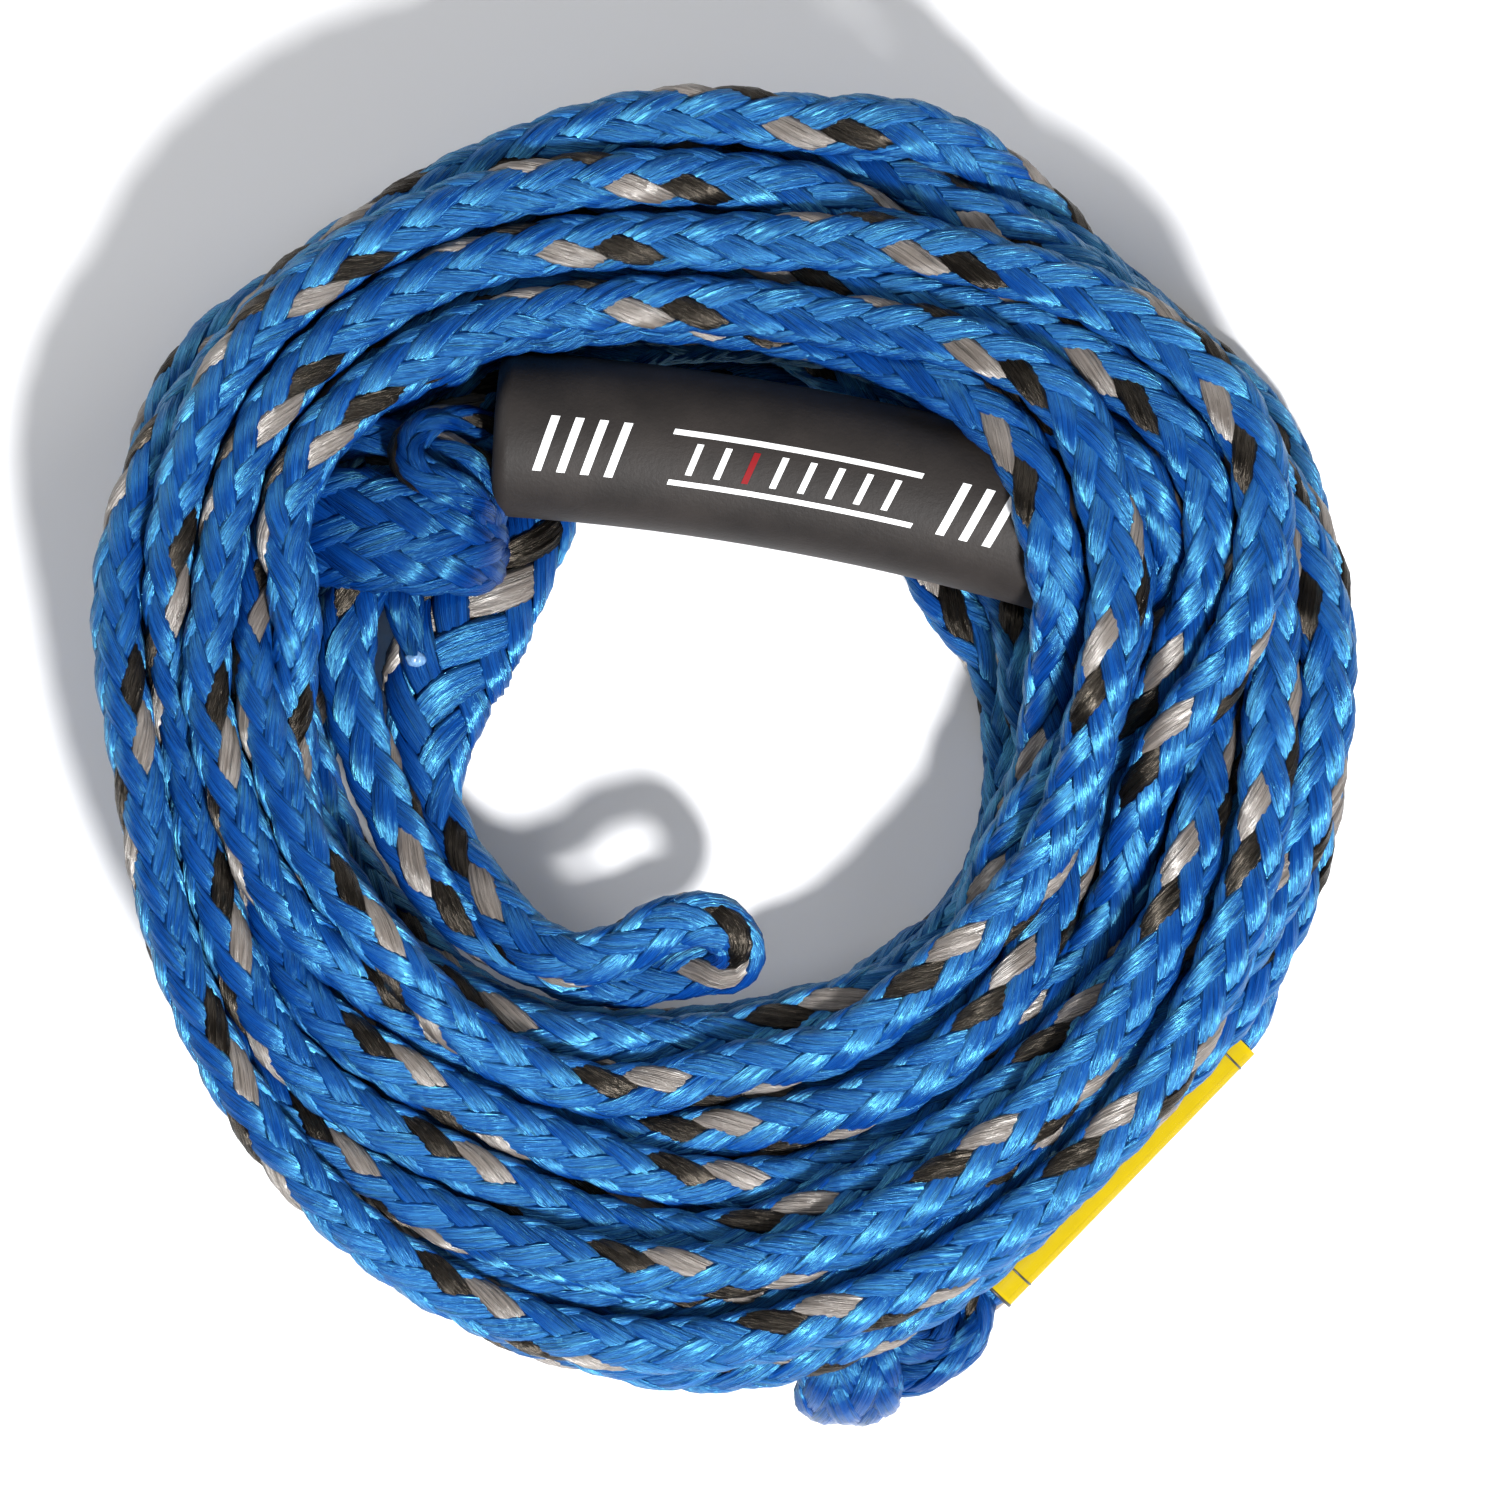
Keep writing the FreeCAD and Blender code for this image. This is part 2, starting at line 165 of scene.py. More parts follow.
# How far the middle of a turn keeps from each neighbour's line.
FLOAT_CLEAR = FLOAT_RADIUS + 5.6
INNER_KNOT_CLEAR = 22.0
OUTER_KNOT_CLEAR = 19.5
INNER_LOOP_CLEAR = 11.0
THROAT_CLEAR = 14.5
OUTER_LOOP_CLEAR = 11.6
LABEL_CLEAR = 12.9

# The settling: rounds, how close two turns' middles come, how much of an overlap each pass takes
# away, how far the turns sink in a round, how hard they go back to their wish, and their stiffness.
SETTLE_ROUNDS = 420
SETTLE_PASSES = 3
TURN_GAP = 11.2
TURN_PUSH = 0.25
SINK_FIRST = 0.25
SINK_ALWAYS = 0.05
WISH_PULL = 0.02
STIFFNESS = 0.055
EDGE_PULL = 0.5

# The last parting of the turns between stations: the gap, how much of it each round opens, how
# close two lines are when one is told to pass over the other, and how steeply.
PART_GAP = 10.8
PART_ROUNDS = 30
PART_PUSH = 0.22
PART_SHARING = 0.35
PASS_OVER_GAP = 7.5
PASS_OVER_RISE = 6


def edge_at(values, bearing):
    """A smooth closed curve through values every 30 degrees, at bearings in radians."""
    fine = np.interp(np.arange(360), np.arange(0, 390, 30), values + values[:1])
    weights = np.hanning(31)
    weights /= weights.sum()
    wrapped = np.concatenate([fine[-15:], fine, fine[:15]])
    smooth = np.convolve(wrapped, weights, "valid")
    return np.interp(np.degrees(bearing) % 360, np.arange(361), np.append(smooth, smooth[0]))


def wander(rng, count, reach, size):
    """A smooth random walk along the rope, of the given correlation length in stations."""
    noise = rng.normal(size=count + 6 * reach)
    kernel = np.exp(-0.5 * (np.arange(-3 * reach, 3 * reach + 1) / reach) ** 2)
    smooth = np.convolve(noise, kernel, "same")[3 * reach : 3 * reach + count]
    return size * smooth / np.abs(smooth).max()


def shove_off_line(points, line, clear):
    """How far each point has to move to stay clear of a line of points."""
    away = points[:, None, :] - line[None, :, :]
    distance = np.linalg.norm(away, axis=2)
    nearest = distance.argmin(1)
    rows = np.arange(len(points))
    gap = distance[rows, nearest]
    push = np.maximum(clear - gap, 0)
    return away[rows, nearest] / np.maximum(gap, 1e-6)[:, None] * push[:, None]


def dense(route, step=4.0):
    """Points along straight runs through a route, close together, for keeping clear of it."""
    route = np.array(route, float)
    out = []
    for a, b in zip(route[:-1], route[1:]):
        count = max(int(np.linalg.norm(b - a) / step), 1)
        out += [a + (b - a) * k / count for k in range(count)]
    return np.array(out + [route[-1]])


def coil_points():
    """The coil's turns, settled on each other: one point per station, clockwise, in millimetres."""
    rng = np.random.default_rng(11)
    count = TURNS * STATIONS + EXTRA
    index = np.arange(count)
    bearing = math.radians(FIRST_BEARING) - TURN * index / STATIONS
    turn = index / STATIONS
    share = np.interp(turn, np.arange(len(TURN_ACROSS)), TURN_ACROSS) + wander(rng, count, 6, 0.3)
    lift = np.interp(turn, np.arange(len(TURN_UP)), TURN_UP) + wander(rng, count, 5, 0.22)
    share = np.clip(share, 0, 1)
    flatness = edge_at(FLATTENED, bearing)
    inner_low = edge_at(INNER_EDGE_LOW, bearing) + ROPE / 2 * flatness
    inner_high = edge_at(INNER_EDGE_HIGH, bearing) + ROPE / 2 * flatness
    outer = edge_at(OUTER_EDGE, bearing) - ROPE / 2 * flatness
    height = FLOOR_LAYER + np.clip(lift, 0, 1) * (TOP_LAYER - FLOOR_LAYER)
    blend = np.clip((height - LOW_LAYER + 4) / 8, 0, 1)
    reach = (inner_low * (1 - blend) + inner_high * blend) * (1 - share) + outer * share
    wish = reach.copy()
    pins = np.concatenate([index[: len(FIRST_HELD)], index[-len(LAST_HELD) :]])
    pin_reach, pin_height = np.array(FIRST_HELD + LAST_HELD).T
    rows = math.ceil(count / STATIONS)
    slot = np.full(rows * STATIONS, -1)
    slot[:count] = index
    slot = slot.reshape(rows, STATIONS).T  # station by turn
    there = slot >= 0
    both = there[:, :, None] & there[:, None, :]
    both &= ~np.eye(rows, dtype=bool)[None]
    keep_clear = [
        (FLOAT_LINE, FLOAT_CLEAR),
        (dense(INNER_KNOT_LINE), INNER_KNOT_CLEAR),
        (dense(OUTER_KNOT_LINE), OUTER_KNOT_CLEAR),
        (dense(INNER_LOOP[1:]), INNER_LOOP_CLEAR),
        (dense(THROAT_LINE), THROAT_CLEAR),
        (dense(OUTER_LOOP), OUTER_LOOP_CLEAR),
        (dense(LABEL_STRAND[1:], 5.0), LABEL_CLEAR),
    ]
    unit = np.stack([np.cos(bearing), np.sin(bearing)], 1)
    flat_here = flatness[:STATIONS, None, None]
    for step in range(SETTLE_ROUNDS):
        easing = 1 - step / SETTLE_ROUNDS
        height -= SINK_FIRST * easing + SINK_ALWAYS
        reach += (wish - reach) * WISH_PULL * (0.4 + easing)
        for values in (reach, height):
            bend = np.zeros(count)
            bend[2:-2] = values[:-4] - 4 * values[1:-3] + 6 * values[2:-2]
            bend[2:-2] -= 4 * values[3:-1]
            bend[2:-2] += values[4:]
            values -= STIFFNESS * bend
        for again in range(SETTLE_PASSES):
            r = np.where(there, reach[slot], 0)
            z = np.where(there, height[slot], 0)
            dr = r[:, :, None] - r[:, None, :]
            dz = z[:, :, None] - z[:, None, :]
            gap = np.sqrt((dr / flat_here) ** 2 + (dz * flat_here) ** 2) + 1e-6
            near = both & (gap < TURN_GAP)
            push = np.where(near, (TURN_GAP - gap) / gap * TURN_PUSH, 0)
            move_r = (push * dr).sum(2)
            move_z = (push * dz).sum(2)
            reach[slot[there]] += move_r[there]
            height[slot[there]] += move_z[there]
            points = np.concatenate([unit * reach[:, None], height[:, None]], 1)
            for line, clear in keep_clear:
                shove = shove_off_line(points, line, clear)
                reach += (shove[:, :2] * unit).sum(1)
                height += shove[:, 2]
            for side, most in SIDES:
                past = np.maximum(points[:, :2] @ np.array(side) - most, 0)
                reach -= past * (height > SIDES_HEIGHT)
            blend = np.clip((height - LOW_LAYER) / 6, 0, 1)
            inner = inner_low * (1 - blend) + inner_high * blend
            reach += (np.maximum(reach, inner) - reach) * EDGE_PULL
            reach = np.minimum(reach, outer)
            height = np.clip(height, FLOOR_LAYER, TOP_LAYER)
            reach[pins] = pin_reach
            height[pins] = pin_height
    return np.concatenate([unit * reach[:, None], height[:, None]], 1)


def nurbs_line(name, points):
    """Points along the smooth curve of a route, in millimetres."""
    curve = bpy.data.curves.new(name, "CURVE")
    curve.dimensions = "3D"
    curve.resolution_u = 8
    spline = curve.splines.new("NURBS")
    spline.points.add(len(points) - 1)
    for point, place in zip(spline.points, points):
        point.co = (*[float(c) * MM for c in place], 1)
    spline.order_u = 3
    spline.use_endpoint_u = True
    holder = add_object(name, curve)
    bpy.context.view_layer.update()
    mesh = bpy.data.meshes.new_from_object(holder)
    line = np.zeros(len(mesh.vertices) * 3)
    mesh.vertices.foreach_get("co", line)
    bpy.data.meshes.remove(mesh)
    bpy.data.objects.remove(holder)
    return line.reshape(-1, 3) / MM


def even(line, step):
    """The same line with points an even distance apart."""
    along = np.concatenate([[0], np.linalg.norm(np.diff(line, axis=0), axis=1).cumsum()])
    count = max(int(round(along[-1] / step)), 8)
    wanted = np.linspace(0, along[-1], count + 1)
    return np.stack([np.interp(wanted, along, line[:, k]) for k in range(3)], 1), along[-1]


def tree_of(places):
    tree = kdtree.KDTree(len(places))
    for k, place in enumerate(places):
        tree.insert(place, k)
    tree.balance()
    return tree


def part_crossings(points, held):
    """Pushes apart what still crosses between stations, by moving the route's points."""
    points = points.copy()
    shares = (0.0, 0.34, 0.67)
    owner = np.tile(np.arange(len(points) - 1), len(shares))
    share = np.repeat(shares, len(points) - 1)
    for again in range(PART_ROUNDS):
        samples = points[owner] * (1 - share)[:, None] + points[owner + 1] * share[:, None]
        flatness = edge_at(FLATTENED, np.arctan2(samples[:, 1], samples[:, 0]))[:, None]
        scale = np.concatenate([1 / flatness, 1 / flatness, flatness], 1)
        samples = samples * scale
        tree = tree_of(samples)
        pairs = []
        for k, place in enumerate(samples):
            for _, other, _ in tree.find_range(place, PART_GAP):
                if other > k and abs(owner[other] - owner[k]) > 2:
                    pairs.append((k, other))
        if not pairs:
            break
        first, second = np.array(pairs).T
        away = samples[first] - samples[second]
        gap = np.linalg.norm(away, axis=1)
        upward = np.where(away[:, 2] >= 0, 1.0, -1.0)
        close = gap < PASS_OVER_GAP
        away[close, 2] = (upward * PASS_OVER_RISE)[close]
        away /= np.linalg.norm(away, axis=1)[:, None]
        move = away * ((PART_GAP - gap) * PART_PUSH)[:, None] / scale[first]
        shift = np.zeros_like(points)
        hits = np.ones(len(points))
        for sign, which in ((1, first), (-1, second)):
            for offset, part in ((0, 1 - share[which]), (1, share[which])):
                np.add.at(shift, owner[which] + offset, sign * move * part[:, None])
                np.add.at(hits, owner[which] + offset, part * PART_SHARING)
        shift /= hits[:, None]
        shift += shove_off_line(points + shift, FLOAT_LINE, FLOAT_CLEAR)
        shift[held] = 0
        points += shift
        points[:, 2] = np.clip(points[:, 2], FLOOR_LAYER, TOP_LAYER + 1)
    return points


# The knots: narrow wraps of plain rope, and each knot's wide wrap, swollen and flattened.
INNER_FIRST = [
    (-50, 73.7, 31), (-59, 76, 35), (-68, 75, 41), (-72.5, 69, 44.5), (-68, 62.5, 46.5),
    (-60, 60.5, 46), (-54, 57, 40), (-55, 51, 30),
]
INNER_SECOND = [
    (-100, 60, 24), (-95, 69, 31), (-84, 73, 35.5), (-73, 72, 37), (-62, 70, 40), (-55, 65, 40),
    (-52.5, 57, 34), (-56, 50, 26), (-64, 48, 22),
]
INNER_TAIL = [(-76, 50, 22), (-74.5, 40, 26), (-72.5, 31, 27), (-70.5, 22.8, 26)]
TAIL_END = (-70.4, 22.0, 26.2)
INNER_WIDE = [
    (-82, 54, 15), (-97, 54, 18), (-101, 53.5, 30), (-93, 52.5, 40), (-78, 50.5, 44),
    (-63, 48, 42), (-53.5, 47, 34), (-54, 48, 21), (-66, 52, 15),
]
INNER_WIDE_HALF = [9, 11, 13.5, 14.5, 14.5, 13, 11.5, 10, 9]
OUTER_FIRST = [
    (58, -121.5, 15.2), (60, -126, 15.5), (58.5, -133.5, 17.5), (53, -140, 19.5),
    (45, -144.5, 17.5), (36, -145, 12), (28, -140, 9),
]
OUTER_SECOND = [
    (24, -125, 14), (33, -129.5, 22), (40, -135, 26), (47, -137.5, 24), (52.5, -132, 18),
    (52, -125, 13), (48, -120, 9),
]
OUTER_WIDE = [
    (29, -135, 6.5), (28, -127, 9), (28.5, -126, 19), (29, -133, 26), (29.5, -143, 26.5),
    (29.5, -151, 21), (29.5, -151.5, 11), (29.5, -145, 6.2),
]
OUTER_WIDE_HALF = [8, 9, 10, 12, 13, 13, 12, 10]

# Braiding: strands laid over and under each other on a line's outer envelope.

PITCH = 80.0
STRANDS = 6
STEP = 2.35
AROUND = 24
ANGLES = np.arange(AROUND) * TURN / AROUND
LEAN = math.radians(24)
STRAND_WIDTH = 3.1
STRAND_THICK = 1.6
WAVE = 0.8
# Each strand is wider where it lies over the others, squarer than an ellipse, grooved by its
# yarns, and strays a little round the rope, in width and in depth.
WIDER_OVER = 0.12
SQUARENESS = 2.4
GROOVE = 0.2
GROOVES_ACROSS = 1.5
GROOVE_LAY = 9.0
STRAY_ROUND = 0.035
STRAY_WIDE = 0.05
STRAY_DEEP = 0.12
SUNK = 0.12
TOP_POINTS = 9
BOTTOM_POINTS = 3
LINING_DEPTH = 2.35
LINING_AROUND = 12
ABOVE_FLOOR = 0.05

# What flattens the rope: neighbours within this range, no further along than this, and not the
# same line's nearest rows. It isn't pressed flatter than these radii.
NEIGHBOUR_RANGE = 17.5
NEIGHBOUR_ALONG = 3.2
OWN_ROWS = 14
PRESSED_LEAST = 3.6
FLOOR_LEAST = 4.5
NO_LIMIT = 99.0
# The float flattens rope that lies this far from its axis. There is this much air between them,
# and the rope is pressed no flatter than this.
BESIDE_FLOAT = (8, 30)
FLOAT_AIR = 0.15
FLOAT_LEAST = 3.2
# The rope's own area, and the radii that keep it.
ROPE_AREA = math.pi * 5.85**2
FREE_RADIUS = (5.8, 7.4)
WIDEST = 8.9
# How far from the bore and the label the rope reaches its full flatness.
FLATTENING_RUN = 60
# The rope is round and no thicker than this in the float's bore and under the label, which lies
# between these distances from the rope's end.
SLEEVED = 5.95
LABEL_SPAN = (8, 110)
LABEL_END = LABEL_SPAN[1]


def frames(line, level=False):
    """Tangents and two cross directions, which don't twist or, when level, stay upright."""
    tangent = np.gradient(line, axis=0)
    tangent /= np.linalg.norm(tangent, axis=1)[:, None]
    normal = np.zeros_like(line)
    upright = np.array([0.0, 0.0, 1.0])
    start = upright
    if abs(tangent[0] @ start) > 0.9:
        start = np.array([1.0, 0.0, 0.0])
    for k in range(len(line)):
        start = upright if level else start
        start = start - tangent[k] * (tangent[k] @ start)
        start /= np.linalg.norm(start)
        normal[k] = start
    return tangent, normal, np.cross(tangent, normal)


def outlines(high, wide):
    """Outlines from their radii in the two cross directions."""
    return np.stack(np.broadcast_arrays(high * np.cos(ANGLES), wide * np.sin(ANGLES)), 2)


def clip_by(limits, rows, across, up, reach):
    """Lowers the radii where a wall stands at the given distance in the given direction."""
    facing = np.arctan2(up, across)
    cosine = np.cos(ANGLES[None, :] - facing[:, None])
    wall = np.where(cosine > 0.15, reach[:, None] / np.maximum(cosine, 0.15), NO_LIMIT)
    np.minimum.at(limits, rows, wall)


def even_round(shape):
    """The same outlines with their points an even distance apart."""
    closed = np.concatenate([shape, shape[:, :1]], 1)
    along = np.linalg.norm(np.diff(closed, axis=1), axis=2).cumsum(1)
    along = np.concatenate([np.zeros((len(shape), 1)), along], 1)
    out = np.empty_like(shape)
    for k, here in enumerate(along):
        wanted = here[-1] * np.arange(AROUND) / AROUND
        for axis in (0, 1):
            out[k, :, axis] = np.interp(wanted, here, closed[k, :, axis])
    return out


def envelope(lines, index, cap=None):
    """The outline round one line at every point, flattened where it lies on its neighbours."""
    line, tangent, normal, side = lines[index]
    limits = np.full((len(line), AROUND), NO_LIMIT)
    pressed = []
    for k in range(len(line)):
        for place, number, _ in envelope.tree.find_range(line[k], NEIGHBOUR_RANGE):
            which, at = envelope.places[number]
            if which == index and abs(at - k) < OWN_ROWS:
                continue
            away = np.array(place) - line[k]
            if abs(away @ tangent[k]) > NEIGHBOUR_ALONG:
                continue
            x, y = away @ normal[k], away @ side[k]
            pressed.append((k, x, y, max(math.hypot(x, y) / 2, PRESSED_LEAST)))
    if pressed:
        rows, across, up, reach = np.array(pressed).T
        clip_by(limits, rows.astype(int), across, up, reach)
    # The floor.
    everyone = np.arange(len(line))
    down = np.stack([-normal[:, 2], -side[:, 2]], 1)
    steep = np.linalg.norm(down, axis=1)
    above = np.maximum(line[:, 2] / np.maximum(steep, 0.2), FLOOR_LEAST)
    clip_by(limits, everyone, down[:, 0], down[:, 1], above)
    # The float, from outside.
    from_bend = line - BEND_CENTRE
    bearing = np.degrees(np.arctan2(from_bend[:, 1], from_bend[:, 0]))
    level = np.linalg.norm(from_bend[:, :2], axis=1) - BEND_RADIUS
    apart = np.hypot(level, from_bend[:, 2])
    beside = (bearing > FLOAT_ANGLES[0] - FLOAT_TRAVEL - 0.4) & (bearing < FLOAT_ANGLES[1] + 0.4)
    beside &= (apart > BESIDE_FLOAT[0]) & (apart < BESIDE_FLOAT[1])
    if beside.any():
        outward = from_bend[beside].copy()
        flat_length = np.linalg.norm(outward[:, :2], axis=1)
        outward[:, :2] *= (level[beside] / flat_length)[:, None]
        inward = -outward
        x = (inward * normal[beside]).sum(1)
        y = (inward * side[beside]).sum(1)
        room = np.maximum(apart[beside] - FLOAT_RADIUS - FLOAT_AIR, FLOAT_LEAST)
        clip_by(limits, everyone[beside], x, y, room)
    # Left alone, the rope lies a little flat: an oval of its own area, wider than it is high.
    flat = np.ones((len(line), 1))
    if KEYS[index] == "inner_loop":
        flat[:] = LOOP_FLATTENED
    if KEYS[index] == "main":
        flat = edge_at(FLATTENED, np.arctan2(line[:, 1], line[:, 0]))[:, None]
        from_bore = np.arange(len(line)) * STEP - BORE_END
        from_label = (len(line) - np.arange(len(line))) * STEP - LABEL_END
        settle = np.clip(np.minimum(from_bore, from_label) / FLATTENING_RUN, 0, 1)
        flat = 1 + (flat - 1) * settle[:, None]
    turned = ANGLES[None, :] - np.arctan2(side[:, 2], normal[:, 2])[:, None]
    oval = 1 / np.sqrt((np.cos(turned) * flat) ** 2 + (np.sin(turned) / flat) ** 2)
    free = np.full((len(line), 1), 6.15)
    for again in range(6):
        radius = np.minimum(limits, free * oval)
        area = 0.5 * (radius**2).sum(1, keepdims=True) * TURN / AROUND
        free = np.clip(free * (ROPE_AREA / area) ** 0.6, *FREE_RADIUS)
    radius = np.minimum(limits, np.minimum(free * oval, WIDEST))
    if cap is not None:
        radius = np.minimum(radius, cap[:, None])
    for again in range(3):
        radius = (2 * radius + np.roll(radius, 1, 1) + np.roll(radius, -1, 1)) / 4
        padded = np.pad(radius, ((1, 1), (0, 0)), "edge")
        radius = (padded[:-2] + 2 * radius + padded[2:]) / 4
    return outlines(radius, radius)


def plant_tree(lines):
    """Gives envelope() a tree of all the lines' points, and which point of which line each is."""
    envelope.places = []
    total = []
    for which, other in enumerate(lines):
        for k in range(0, len(other[0]), 2):
            envelope.places.append((which, k))
            total.append(other[0][k])
    envelope.tree = tree_of(total)


def mix_rows(table, at, around=None):
    """Values of a table between its rows, and between its columns round a circle."""
    last = len(table) - 1
    at = np.clip(at, 0, last - 1e-6)
    low = at.astype(int)
    part = at - low
    if around is None:
        part = part.reshape(part.shape + (1,) * (table.ndim - 1))
        return table[low] * (1 - part) + table[low + 1] * part
    column = np.mod(around, TURN) / TURN * AROUND
    left = column.astype(int) % AROUND
    right = (left + 1) % AROUND
    turn = (column - np.floor(column))[..., None]
    part = part[..., None]
    here = table[low, left] * (1 - turn) + table[low, right] * turn
    there = table[low + 1, left] * (1 - turn) + table[low + 1, right] * turn
    return here * (1 - part) + there * part


def on_rope(path, at, around, depth):
    """Points at a depth under the rope's envelope."""
    line, normal, side, shape, outward = path
    centre = mix_rows(line, at)
    skin = mix_rows(shape, at, around) - mix_rows(outward, at, around) * depth[..., None]
    return centre + mix_rows(normal, at) * skin[..., :1] + mix_rows(side, at) * skin[..., 1:]


def ring_faces(rows, points, base):
    """The quads of an open tube of rings."""
    ring = np.arange(points)
    after = (ring + 1) % points
    start = (np.arange(rows - 1) * points)[:, None]
    above = start + points
    quads = np.stack([start + ring, start + after, above + after, above + ring], 2)
    return quads.reshape(-1, 4) + base


def build_mesh(name, parts, materials):
    """One object from tubes of rings: parts are (rings, u, v, material number)."""
    places, quads, coords, numbers = [], [], [], []
    base = 0
    for rings, u, v, number in parts:
        rows, points = rings.shape[:2]
        faces = ring_faces(rows, points, base)
        places.append(rings.reshape(-1, 3))
        quads.append(faces)
        # The section's coordinate runs on past the last point instead of back to the first.
        local = faces - base
        row, column = local // points, local % points
        wrap = (column == 0) & (column.max(1, keepdims=True) == points - 1)
        across = np.where(wrap, 1.0, v[column])
        coords.append(np.stack([u[row], across], 2).reshape(-1, 2))
        numbers.append(np.full(len(faces), number))
        base += rows * points
    places = np.concatenate(places) * MM
    places[:, 2] = np.maximum(places[:, 2], ABOVE_FLOOR * MM)
    quads = np.concatenate(quads)
    mesh = bpy.data.meshes.new(name)
    mesh.vertices.add(len(places))
    mesh.vertices.foreach_set("co", places.ravel())
    mesh.loops.add(quads.size)
    mesh.loops.foreach_set("vertex_index", quads.ravel())
    mesh.polygons.add(len(quads))
    mesh.polygons.foreach_set("loop_start", np.arange(0, quads.size, 4))
    mesh.polygons.foreach_set("loop_total", np.full(len(quads), 4))
    for material in materials:
        mesh.materials.append(material)
    mesh.polygons.foreach_set("material_index", np.concatenate(numbers))
    mesh.update(calc_edges=True)
    layer = mesh.uv_layers.new(name="weave")
    layer.data.foreach_set("uv", np.concatenate(coords).ravel())
    mesh.shade_smooth()
    return add_object(name, mesh)


def outwards(shape):
    """Unit normals of the section's outline."""
    along = np.roll(shape, -1, 1) - np.roll(shape, 1, 1)
    normal = np.stack([along[..., 1], -along[..., 0]], 2)
    return normal / np.linalg.norm(normal, axis=2, keepdims=True)


def strand_rings(path, way, number, rng, wide=STRAND_WIDTH, count=STRANDS, pitch=PITCH):
    """One strand of the braid: rings of points, and how far along each is."""
    line, shape = path[0], path[3]
    rows = len(line)
    at = np.arange(rows, dtype=float)
    along = at * STEP
    crossing = 2 * count * along / pitch
    place = 2 * number + way * crossing
    over = way * np.cos(math.pi / 2 * (place - 0.5))
    theta = way * TURN * along / pitch + TURN * number / count
    theta = theta + wander(rng, rows, 5, STRAY_ROUND)
    half = wide * (1 + WIDER_OVER * over) * (1 + wander(rng, rows, 4, STRAY_WIDE))
    depth = STRAND_THICK / 2 + WAVE * (1 - over) + wander(rng, rows, 4, STRAY_DEEP) + SUNK
    top = np.linspace(-1, 1, TOP_POINTS)
    under = np.linspace(1, -1, BOTTOM_POINTS + 2)[1:-1]
    x = np.concatenate([top, under])
    bulge = np.sqrt(np.maximum(1 - np.abs(x) ** SQUARENESS, 0))
    lay = (rng.random() * TURN + along / GROOVE_LAY)[:, None]
    yarns = GROOVE * np.cos(TURN * GROOVES_ACROSS * x[None, :] + lay)
    upper = np.concatenate([np.ones(TOP_POINTS), -np.ones(BOTTOM_POINTS)])
    thick = STRAND_THICK / 2 * bulge * upper + np.where(upper > 0, yarns * bulge, 0)
    sideways = x[None, :] * half[:, None]
    rise = np.roll(shape, -1, 1) - np.roll(shape, 1, 1)
    rise = np.linalg.norm(rise, axis=2) / (2 * TURN / AROUND)
    pace = mix_rows(rise[..., None], at, theta)[:, 0]
    place_at = at[:, None] - way * sideways * math.sin(LEAN) / STEP
    round_at = theta[:, None] + sideways * math.cos(LEAN) / pace[:, None]
    rings = on_rope(path, place_at, round_at, depth[:, None] - thick)
    below = np.linspace(0.75, 1, BOTTOM_POINTS + 2)[1:-1]
    v = np.concatenate([np.linspace(0, 0.75, TOP_POINTS), below])
    if way < 0:
        rings = np.roll(rings[:, ::-1], 1, 1)
        v = np.linspace(0, 1, TOP_POINTS + BOTTOM_POINTS + 1)[:-1]
    return rings, along * MM, v


def lining_rings(path, depth=LINING_DEPTH):
    """The inner wall under a braid: rings of points, and how far along each is."""
    rows = len(path[0])
    ring = np.arange(LINING_AROUND) * TURN / LINING_AROUND
    at = np.repeat(np.arange(rows, dtype=float)[:, None], LINING_AROUND, 1)
    around = np.repeat(ring[None, :], rows, 0)
    rings = on_rope(path, at, around, np.full(at.shape, depth))
    return rings, np.arange(rows) * STEP * MM, np.linspace(0, 1, LINING_AROUND + 1)[:-1]


# Materials.


def put(made, inputs):
    for name, value in inputs.items():
        made.inputs[name].default_value = value


def node(tree, kind, place, **inputs):
    made = tree.nodes.new(kind)
    made.location = place
    put(made, inputs)
    return made


def colour_ramp(tree, source, *stops):
    """A ramp from the source through stops, each a position and a colour."""
    ramp = node(tree, "ShaderNodeValToRGB", (-400, 200))
    elements = ramp.color_ramp.elements
    for element, (position, colour) in zip(elements, (stops[0], stops[-1])):
        element.position = position
        element.color = (*colour, 1)
    for position, colour in stops[1:-1]:
        elements.new(position).color = (*colour, 1)
    tree.links.new(source, ramp.inputs["Fac"])
    return ramp.outputs["Color"]


def bump_node(tree, source, place, strength, distance):
    bump = node(tree, "ShaderNodeBump", place, Strength=strength, Distance=distance)
    tree.links.new(source, bump.inputs["Height"])
    return bump


def new_material(name):
    material = bpy.data.materials.new(name)
    material.use_nodes = True
    tree = material.node_tree
    return material, tree, tree.nodes["Principled BSDF"]


